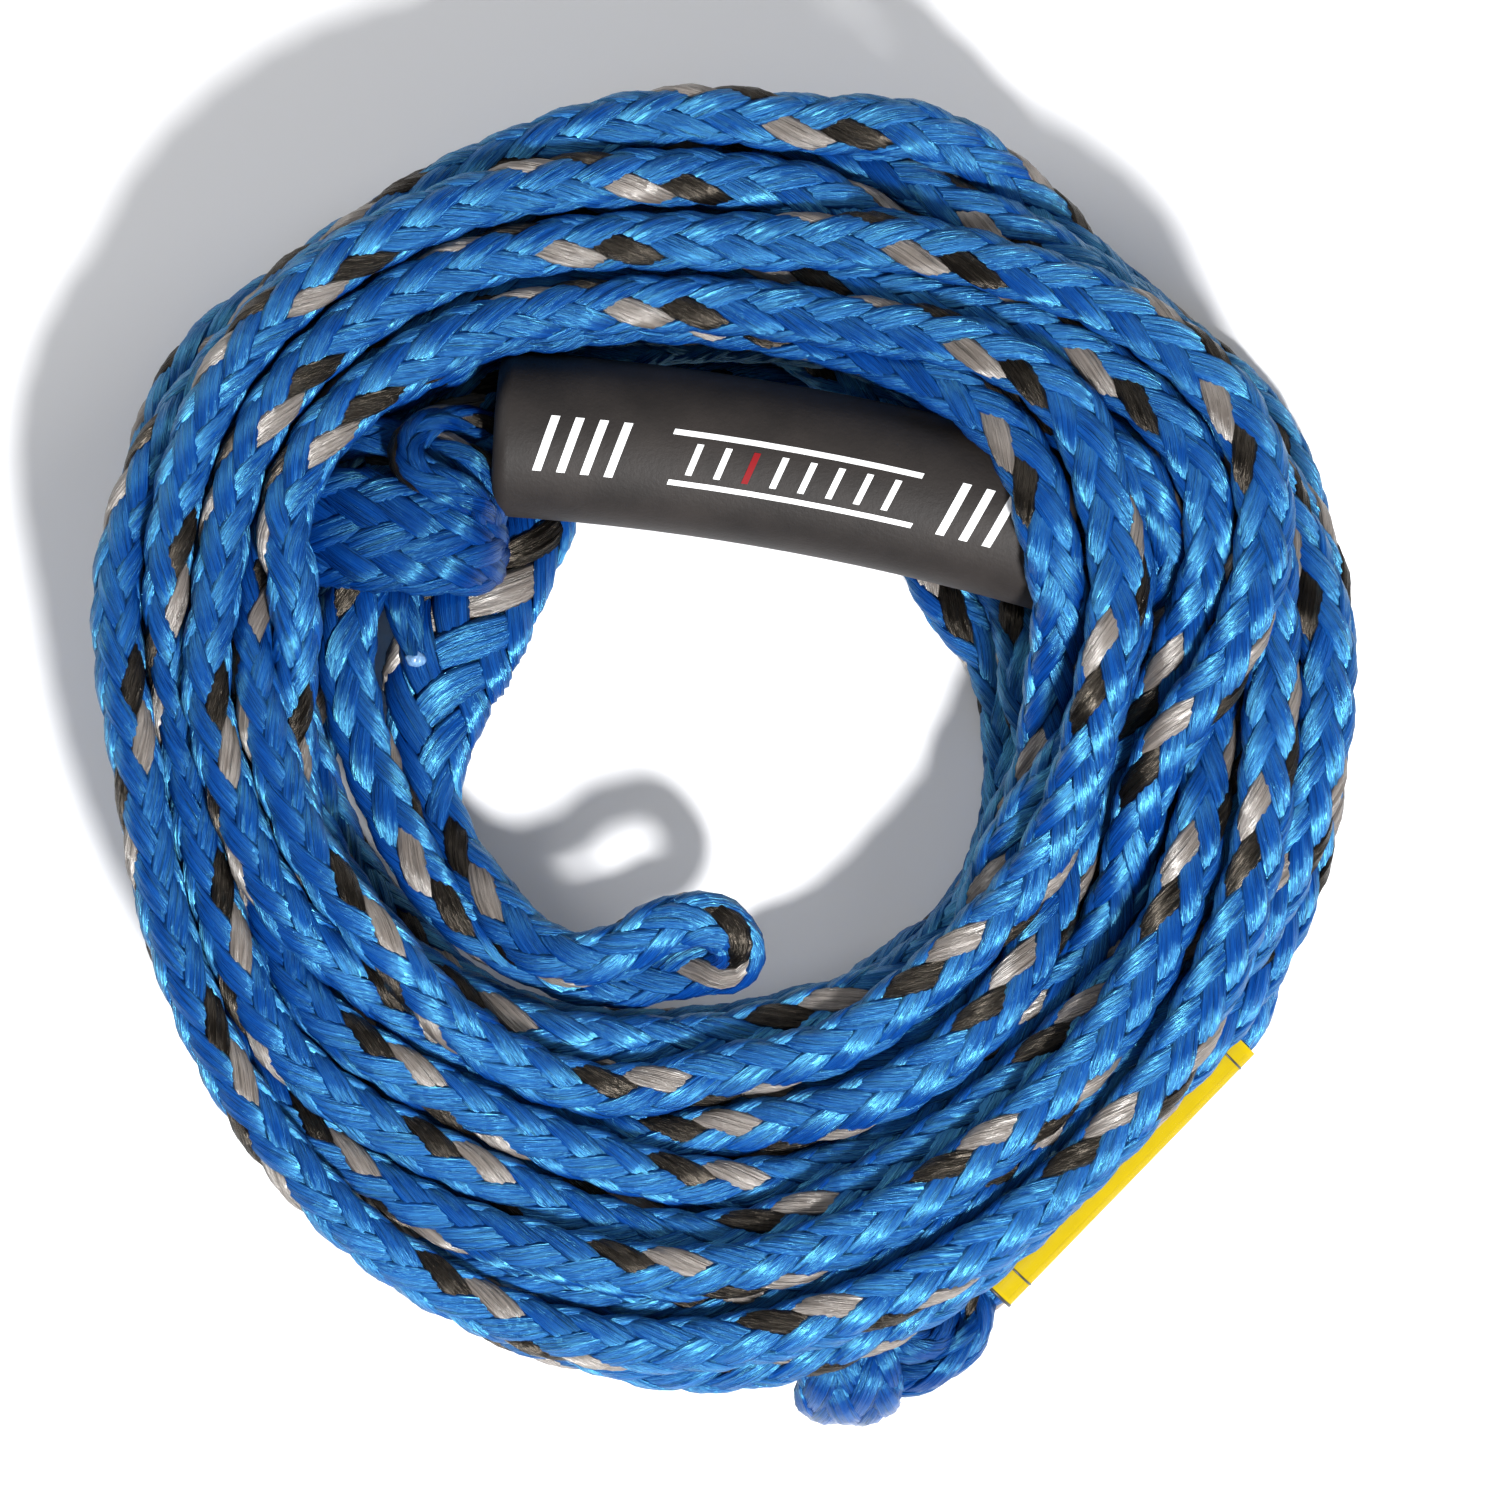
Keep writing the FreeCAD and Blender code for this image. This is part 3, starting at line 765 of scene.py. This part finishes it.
def yarn(name, dark, middle, light, glint, roughness, specular=1.0):
    """Glossy yarn: fine fibres along the strand, the colour drifting from bundle to bundle."""
    material, tree, shader = new_material(name)
    uv = node(tree, "ShaderNodeUVMap", (-1200, 0))
    uv.uv_map = "weave"
    links = tree.links

    def stretched(along, across, detail, place):
        mapping = node(tree, "ShaderNodeMapping", (-1000, place))
        put(mapping, {"Scale": (along, across, 1)})
        noise = node(tree, "ShaderNodeTexNoise", (-800, place), Detail=detail, Roughness=0.6)
        put(noise, {"Scale": 1.0})
        links.new(uv.outputs["UV"], mapping.inputs["Vector"])
        links.new(mapping.outputs["Vector"], noise.inputs["Vector"])
        return noise.outputs["Fac"]

    bundles = stretched(30.0, 12.0, 2.0, 200)
    fibres = stretched(110.0, 44.0, 3.0, -200)
    blend = node(tree, "ShaderNodeMix", (-600, 200))
    blend.data_type = "FLOAT"
    put(blend, {"Factor": 0.45})
    links.new(bundles, blend.inputs["A"])
    links.new(fibres, blend.inputs["B"])
    stops = (0.36, dark), (0.46, middle), (0.64, light)
    colour = colour_ramp(tree, blend.outputs["Result"], *stops)
    links.new(colour, shader.inputs["Base Color"])
    spread = node(tree, "ShaderNodeMapRange", (-400, -100))
    put(spread, {"From Min": 0.3, "From Max": 0.7})
    put(spread, {"To Min": roughness - 0.06, "To Max": roughness + 0.1})
    links.new(fibres, spread.inputs["Value"])
    links.new(spread.outputs["Result"], shader.inputs["Roughness"])
    coarse = bump_node(tree, bundles, (-600, -400), 1.0, 0.0007)
    bump = bump_node(tree, fibres, (-400, -300), 1.0, 0.0004)
    links.new(coarse.outputs["Normal"], bump.inputs["Normal"])
    links.new(bump.outputs["Normal"], shader.inputs["Normal"])
    tangent = node(tree, "ShaderNodeTangent", (-400, -500))
    tangent.direction_type = "UV_MAP"
    tangent.uv_map = "weave"
    links.new(tangent.outputs["Tangent"], shader.inputs["Tangent"])
    put(shader, {"Anisotropic": 0.8, "Anisotropic Rotation": 0.25, "IOR": 1.7})
    put(shader, {"Specular IOR Level": specular, "Specular Tint": (*glint, 1)})
    return material


def noise_on_object(tree, scale, detail, place, roughness=0.6):
    where = node(tree, "ShaderNodeTexCoord", (place[0] - 200, place[1]))
    noise = node(tree, "ShaderNodeTexNoise", place, Scale=scale, Detail=detail, Roughness=roughness)
    tree.links.new(where.outputs["Object"], noise.inputs["Vector"])
    return noise.outputs["Fac"]


def foam():
    material, tree, shader = new_material("closed_cell_foam")
    links = tree.links
    cells = noise_on_object(tree, 900.0, 3.0, (-800, 0), 0.7)
    blotches = noise_on_object(tree, 60.0, 4.0, (-800, -300))
    stops = (0.35, (0.011, 0.0085, 0.0075)), (0.7, (0.022, 0.0175, 0.0155))
    links.new(colour_ramp(tree, blotches, *stops), shader.inputs["Base Color"])
    bump = bump_node(tree, cells, (-400, -200), 0.5, 0.0002)
    links.new(bump.outputs["Normal"], shader.inputs["Normal"])
    put(shader, {"Roughness": 0.62, "Specular IOR Level": 0.35})
    return material


def plain(name, colour, roughness, specular=0.5, wear=0.0, scale=200.0):
    """A printed or moulded surface with faint unevenness."""
    material, tree, shader = new_material(name)
    links = tree.links
    grain = noise_on_object(tree, scale, 4.0, (-800, 0))
    stops = (0.3, [c * (1 - wear) for c in colour]), (0.7, colour)
    links.new(colour_ramp(tree, grain, *stops), shader.inputs["Base Color"])
    bump = bump_node(tree, grain, (-400, -200), 0.25, 0.0002)
    links.new(bump.outputs["Normal"], shader.inputs["Normal"])
    put(shader, {"Roughness": roughness, "Specular IOR Level": specular})
    return material


BLUE = yarn(
    "blue_yarn",
    dark=(0.0005, 0.009, 0.064),
    middle=(0.0008, 0.027, 0.18),
    light=(0.0016, 0.053, 0.29),
    glint=(0.19, 0.76, 1.0),
    roughness=0.27,
)
BLACK = yarn(
    "black_yarn",
    dark=(0.0006, 0.0005, 0.0004),
    middle=(0.002, 0.0016, 0.0013),
    light=(0.005, 0.004, 0.0034),
    glint=(1.0, 0.86, 0.7),
    roughness=0.23,
    specular=0.25,
)
# The knots' yarn is a darker, less glossy copy of the blue yarn. Its darker colour is painted shade
# that tones down the key light's glare on the knots.
SHADED_KNOT_BLUE = yarn(
    "shaded_knot_blue_yarn",
    dark=(0.0004, 0.006, 0.044),
    middle=(0.0006, 0.021, 0.14),
    light=(0.0012, 0.042, 0.235),
    glint=(0.19, 0.76, 1.0),
    roughness=0.27,
    specular=0.5,
)
SILVER = yarn(
    "silver_yarn",
    dark=(0.036, 0.03, 0.025),
    middle=(0.11, 0.092, 0.08),
    light=(0.2, 0.172, 0.152),
    glint=(1.0, 0.97, 0.93),
    roughness=0.3,
    specular=0.9,
)
# The yarn of the wall under the braid and of the tail buried in the throat is a dark navy copy of
# the blue yarn. Its colour is painted shade for the gaps between the strands.
SHADED_LINING_YARN = yarn(
    "shaded_inner_yarn",
    dark=(0.0005, 0.004, 0.03),
    middle=(0.001, 0.009, 0.05),
    light=(0.002, 0.015, 0.08),
    glint=(0.5, 0.8, 1.0),
    roughness=0.6,
)

# The ropes.


def route_line(name, points):
    return even(nurbs_line(name, points), STEP)


main_route = np.concatenate([FLOAT_STRAND, coil_points(), LABEL_STRAND])
held = list(range(len(FLOAT_STRAND) + 2))
held += list(range(len(main_route) - len(LABEL_STRAND) - 3, len(main_route)))
main_route = part_crossings(main_route, held)

ROUTES = {
    "main": main_route,
    "inner_loop": INNER_LOOP,
    "outer_loop": OUTER_LOOP,
    "inner_first": INNER_FIRST,
    "inner_second": INNER_SECOND,
    "outer_first": OUTER_FIRST,
    "outer_second": OUTER_SECOND,
}
LINES, LENGTHS = {}, {}
for name, route in ROUTES.items():
    LINES[name], LENGTHS[name] = route_line(name, route)
KEYS = list(LINES)
FRAMED = []
for name in KEYS:
    tangent, normal, side = frames(LINES[name], level=name == "inner_loop")
    FRAMED.append((LINES[name], tangent, normal, side))
plant_tree(FRAMED)


def path_of(name, cap=None):
    """A rope's line, cross directions, outlines and the outlines' normals."""
    index = KEYS.index(name)
    shape = even_round(envelope(FRAMED, index, cap))
    line, _, normal, side = FRAMED[index]
    return line, normal, side, shape, outwards(shape)


def strand_colour(way, number):
    """A strand's material number: blue, but for one black and one silver strand."""
    if way > 0 and number == 0:
        return 1
    if way > 0 and number == 1:
        return 2
    return 0


def braid_parts(path, rng, **options):
    """All of a braid's strands as parts of one mesh, with the material of each."""
    parts = []
    for way in (1, -1):
        for number in range(options.get("count", STRANDS)):
            rings, u, v = strand_rings(path, way, number, rng, **options)
            parts.append((rings, u, v, strand_colour(way, number)))
    return parts


BRAID_COLOURS = [BLUE, BLACK, SILVER]
rng = np.random.default_rng(5)
main_line = LINES["main"]
along_main = np.arange(len(main_line)) * STEP
in_bore = along_main < BORE_END
from_end = LENGTHS["main"] - along_main
under_label = (from_end > LABEL_SPAN[0]) & (from_end < LABEL_SPAN[1])
main_path = path_of("main", np.where(in_bore | under_label, SLEEVED, WIDEST))

strands = []
for way in (1, -1):
    for number in range(STRANDS):
        rings, u, v = strand_rings(main_path, way, number, rng)
        colour = BRAID_COLOURS[strand_colour(way, number)]
        which = "right" if way > 0 else "left"
        strand = build_mesh(f"main_rope_{which}_strand_{number + 1}", [(rings, u, v, 0)], [colour])
        strands.append(strand)
rings, u, v = lining_rings(main_path)
main_rope = build_mesh("main_rope_inner_wall", [(rings, u, v, 0)], [SHADED_LINING_YARN])
for piece in [main_rope] + strands:
    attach(piece, "rope")
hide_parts("main_line_coil", "float_strand", "label_strand")


def rows_of(parts, first, last):
    """The same strands, only between two rows."""
    return [(rings[first:last], u[first:last], v, number) for rings, u, v, number in parts]


def loop(name, nodes, path, parts, last):
    """A loop of rope: its strands, and the wall inside them."""
    braid = build_mesh(f"{name}_braid", rows_of(parts, 0, last), BRAID_COLOURS)
    wall = build_mesh(f"{name}_inner_wall", rows_of([(*lining_rings(path), 0)], 0, last), [SHADED_LINING_YARN])
    for piece in (braid, wall):
        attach(piece, "rope")
    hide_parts(*nodes)


outer_path = path_of("outer_loop")
loop("outer_loop", ["outer_end_loop"], outer_path, braid_parts(outer_path, rng), len(outer_path[0]))

# The inner loop's wide leg is the same braid, opened over the tail inside it.
line, normal, side, round_shape, _ = path_of("inner_loop")
throat_row = int(np.linalg.norm(line - np.array(THROAT_START), axis=1).argmin())
past = (np.arange(len(line)) - throat_row) * STEP
half_wide = np.interp(past, *np.array(THROAT_WIDE).T)
half_high = np.interp(past, *np.array(THROAT_HIGH).T)
open_shape = outlines(half_high[:, None], half_wide[:, None])
opening = np.clip(past / THROAT_OPENS, 0, 1)[:, None, None]
shape = even_round(round_shape * (1 - opening) + open_shape * opening)
inner_path = (line, normal, side, shape, outwards(shape))
throat_strand = STRAND_WIDTH + THROAT_STRANDS_WIDER * (half_wide - THROAT_WIDE[0][1])
inner_parts = braid_parts(inner_path, rng, wide=throat_strand)
loop("inner_loop", ["inner_end_loop"], inner_path, inner_parts, throat_row + 1)
throat_parts = rows_of(inner_parts, throat_row, None)
throat = build_mesh("throat_open_braid", throat_parts, BRAID_COLOURS)
buried_parts = rows_of([(*lining_rings(inner_path, BURIED_DEPTH), 0)], throat_row, None)
buried = build_mesh("throat_buried_tail", buried_parts, [SHADED_LINING_YARN])
for piece in (throat, buried):
    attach(piece, "rope")
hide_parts("inner_loop_throat")

# How thick the rope is where it is pulled tight in a knot: its radius in each wrap.
KNOT_ROPES = {"inner_first": 4.7, "inner_second": 5.0, "outer_first": 5.5, "outer_second": 5.2}
WIDE_WRAP_HIGH = 5.6
WIDE_WRAP_STRANDS = 10
WIDE_WRAP_STRAND_WIDTH = 3.3
WIDE_WRAP_PITCH = 115.0
KNOTS = {
    "inner_knot": (("inner_first", "inner_second"), INNER_WIDE, INNER_WIDE_HALF, (0, 1, 0)),
    "outer_knot": (("outer_first", "outer_second"), OUTER_WIDE, OUTER_WIDE_HALF, (1, 0, 0)),
}


def wide_wrap(name, route, halves, axis, rng):
    """A swollen, flattened wrap of braid: its strands and its wall, as parts of a knot's mesh."""
    line, _ = route_line(name, route)
    tangent = np.gradient(line, axis=0)
    tangent /= np.linalg.norm(tangent, axis=1)[:, None]
    side = np.array(axis, float) - tangent * (tangent @ np.array(axis, float))[:, None]
    side /= np.linalg.norm(side, axis=1)[:, None]
    normal = np.cross(side, tangent)
    wide = np.interp(np.linspace(0, len(halves) - 1, len(line)), np.arange(len(halves)), halves)
    shape = even_round(outlines(WIDE_WRAP_HIGH, wide[:, None]))
    path = (line, normal, side, shape, outwards(shape))
    strand_wide = WIDE_WRAP_STRAND_WIDTH * wide / max(halves)
    options = {"wide": strand_wide, "count": WIDE_WRAP_STRANDS, "pitch": WIDE_WRAP_PITCH}
    strands = braid_parts(path, rng, **options)
    strands = [(rings, u, v, 0) for rings, u, v, _ in strands]
    return strands, (*lining_rings(path), 0)


def tail_parts(rng):
    """The short end of the rope's tail, thinner towards its cut."""
    line, _ = route_line("tail", INNER_TAIL)
    _, normal, side = frames(line)
    radius = np.interp(np.linspace(0, 1, len(line)), [0, 0.6, 1], [6.0, 5.2, 2.6])[:, None]
    shape = outlines(radius, radius)
    path = (line, normal, side, shape, outwards(shape))
    return braid_parts(path, rng, wide=STRAND_WIDTH * radius[:, 0] / 6), (*lining_rings(path), 0)


for knot, (names, route, halves, axis) in KNOTS.items():
    parts, wall_part = wide_wrap(knot, route, halves, axis, rng)
    walls = [wall_part]
    for name in names:
        thin = KNOT_ROPES[name]
        path = path_of(name, np.full(len(LINES[name]), thin))
        parts += braid_parts(path, rng, wide=STRAND_WIDTH * thin / 5.9)
        walls.append((*lining_rings(path), 0))
    if knot == "inner_knot":
        more, wall_part = tail_parts(rng)
        parts += more
        walls.append(wall_part)
    braid = build_mesh(f"{knot}_wraps", parts, [SHADED_KNOT_BLUE, BLACK, SILVER])
    wall = build_mesh(f"{knot}_inner_wall", walls, [SHADED_LINING_YARN])
    for piece in (braid, wall):
        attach(piece, "rope")
    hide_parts(knot)

# Float, label, fused tail end.


def set_material(name, material):
    nodes[name].data.materials.clear()
    nodes[name].data.materials.append(material)


set_material("foam_float", foam())
vinyl = plain("yellow_vinyl", (0.36, 0.263, 0.0003), 0.55, specular=0.05, wear=0.08)
set_material("yellow_label", vinyl)
film = plain("clear_film", (0.06, 0.06, 0.06), 0.16, specular=0.5)
put(film.node_tree.nodes["Principled BSDF"], {"Alpha": 0.02})
set_material("clear_label_film", film)


def lump(name, centre, radii, rng, material):
    """A small melted lump: a ball pushed in and out by a few waves."""
    around, rows = 24, 14
    t = np.linspace(0.02, math.pi - 0.02, rows)[:, None]
    p = (np.arange(around) * TURN / around)[None, :]
    ball = np.stack([np.sin(t) * np.cos(p), np.sin(t) * np.sin(p), np.cos(t) * np.ones_like(p)], 2)
    swell = np.ones((rows, around))
    for wave in range(7):
        way = rng.normal(size=3) * (2 + wave)
        swell += 0.09 / (1 + 0.3 * wave) * np.sin(ball @ way + rng.random() * TURN)
    rings = ball * swell[..., None] * np.array(radii) + np.array(centre)
    section = np.linspace(0, 1, around + 1)[:-1]
    return build_mesh(name, [(rings, t[:, 0] * 0.002, section, 0)], [material])


melted = plain("fused_filament", (0.2, 0.38, 0.66), 0.3, wear=0.55, scale=1200.0)
tail_end = lump("fused_tail_end", TAIL_END, (2.5, 1.9, 2.1), rng, melted)
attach(tail_end, "rope")
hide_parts("sealed_tail_end")

LABEL_START = np.array(LABEL_STRAND[1])
LABEL_BEARING = math.radians(-134.2)
LABEL_WAY = np.array([math.cos(LABEL_BEARING), math.sin(LABEL_BEARING), 0])
LABEL_OUT = np.array([-LABEL_WAY[1], LABEL_WAY[0], 0])
LINE_RADIUS = 6.58
LINE_THICK = 0.03


def label_band(start, length):
    """A thin printed band round the label."""
    around = np.arange(32) * TURN / 32
    circle = np.cos(around)[:, None] * LABEL_OUT + np.sin(around)[:, None] * np.array([0, 0, 1])
    inside = LINE_RADIUS - LINE_THICK
    end = start + length
    rings = []
    for along, reach in ((start, inside), (start, LINE_RADIUS), (end, LINE_RADIUS), (end, inside)):
        rings.append(LABEL_START + LABEL_WAY * along + circle * reach)
    return np.array(rings), np.arange(4) * MM, np.linspace(0, 1, 33)[:-1], 0


ink = plain("black_ink", (0.012, 0.012, 0.012), 0.4)
lines = [label_band(4.5, 0.5), label_band(74.5, 0.5), label_band(81.3, 0.7)]
bands = build_mesh("label_black_lines", lines, [ink])
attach(bands, "rope")


# The print: slanted bars at both ends and, between two rules, ticks of which one is red.
PRINT_LIFT = 0.1
BAR = {"width": 2.0, "low": -4.0, "high": 9.0}
BAR_STEP = 5.5
TICK = {"width": 1.5, "low": -1.2, "high": 6.2, "slant": 2.0}
TICK_START, TICK_STEP, RED_TICK = 46.5, 6.5, 2
RULES = (-4.0, 7.7)
RULE_START, RULE_LENGTH, RULE_THICK = 41, 57.0, 1.3


def on_float(along, round_angle):
    """A printed point: millimetres along the float from its left end, radians from its top."""
    turn = math.radians(FLOAT_ANGLES[1]) - along / BEND_RADIUS
    radial = np.array([math.cos(turn), math.sin(turn), 0])
    out = -math.sin(round_angle) * radial + np.array([0, 0, math.cos(round_angle)])
    return BEND_CENTRE + radial * BEND_RADIUS + out * (FLOAT_RADIUS + PRINT_LIFT)


def print_bar(corners):
    """A grid over a printed quad, whose corners are (along, down) in millimetres on the float."""
    corners = np.array(corners, float)
    count = 6
    rows = []
    for k in range(count + 1):
        share = k / count
        a = corners[0] * (1 - share) + corners[3] * share
        b = corners[1] * (1 - share) + corners[2] * share
        rows.append([a * (1 - s) + b * s for s in np.linspace(0, 1, count + 1)])
    return rows


def print_mesh(name, bars, material):
    """Printed quads on the float as one piece."""
    places, faces = [], []
    for bar in bars:
        rows = print_bar(bar)
        width = len(rows[0])
        base = len(places)
        for row in rows:
            for along, down in row:
                places.append(on_float(along, down / FLOAT_RADIUS) * MM)
        for r in range(len(rows) - 1):
            for c in range(width - 1):
                k = base + r * width + c
                faces.append((k, k + width, k + width + 1, k + 1))
    mesh = bpy.data.meshes.new(name)
    mesh.from_pydata(places, [], faces)
    mesh.materials.append(material)
    mesh.shade_smooth()
    thing = add_object(name, mesh)
    thing.data.validate()
    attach(thing, "float")


def slanted(start, width, low, high, slant=3.5):
    """The corners of a bar from one height to another that leans to the left."""
    end = start + width
    return [(start, low), (end, low), (end - slant, high), (start - slant, high)]


white_bars = [slanted(13 + BAR_STEP * k, **BAR) for k in range(4)]
white_bars += [slanted(RULE_START, RULE_LENGTH, low, low + RULE_THICK, 0.35) for low in RULES]
ticks = [slanted(TICK_START + TICK_STEP * k, **TICK) for k in range(8)]
red_bars = [ticks.pop(RED_TICK)]
white_bars += ticks
white_bars += [slanted(107 + BAR_STEP * k, **BAR) for k in range(3)]
white_print = plain("white_print", (0.86, 0.86, 0.86), 0.5, wear=0.06)
print_mesh("float_white_stripes", white_bars, white_print)
red_print = plain("red_print", (0.21, 0.006, 0.009), 0.6, specular=0.15, wear=0.06)
print_mesh("float_red_stripe", red_bars, red_print)

# Floor and light.


def floor():
    mesh = bpy.data.meshes.new("floor")
    mesh.from_pydata([(-8, -8, 0), (8, -8, 0), (8, 8, 0), (-8, 8, 0)], [], [(0, 1, 2, 3)])
    material, _, shader = new_material("pale_floor")
    put(shader, {"Base Color": (0.92, 0.92, 0.93, 1), "Roughness": 0.9})
    mesh.materials.append(material)
    add_object("floor", mesh)


LIT_POINT = (0, 0, 0.03)


def area_light(name, place, size, power):
    light = bpy.data.lights.new(name, "AREA")
    light.shape = "DISK"
    light.size = size
    light.energy = power
    lamp = add_object(name, light)
    lamp.location = place
    lamp.rotation_euler = (Vector(LIT_POINT) - Vector(place)).to_track_quat("-Z", "Y").to_euler()


floor()
area_light("key", (0.4, -0.85, 1.15), 0.26, 47)
area_light("overhead", (-0.1, 0.2, 1.7), 1.3, 1.5)
area_light("left_fill", (-1.1, 0.6, 0.85), 0.8, 9)
area_light("right_fill", (1.1, 0.75, 0.8), 0.8, 5.5)
world = bpy.data.worlds.new("studio")
bpy.context.scene.world = world
world.use_nodes = True
background = world.node_tree.nodes["Background"]
put(background, {"Color": (0.95, 0.97, 1.0, 1), "Strength": 0.17})
bpy.context.scene.view_settings.view_transform = "Standard"
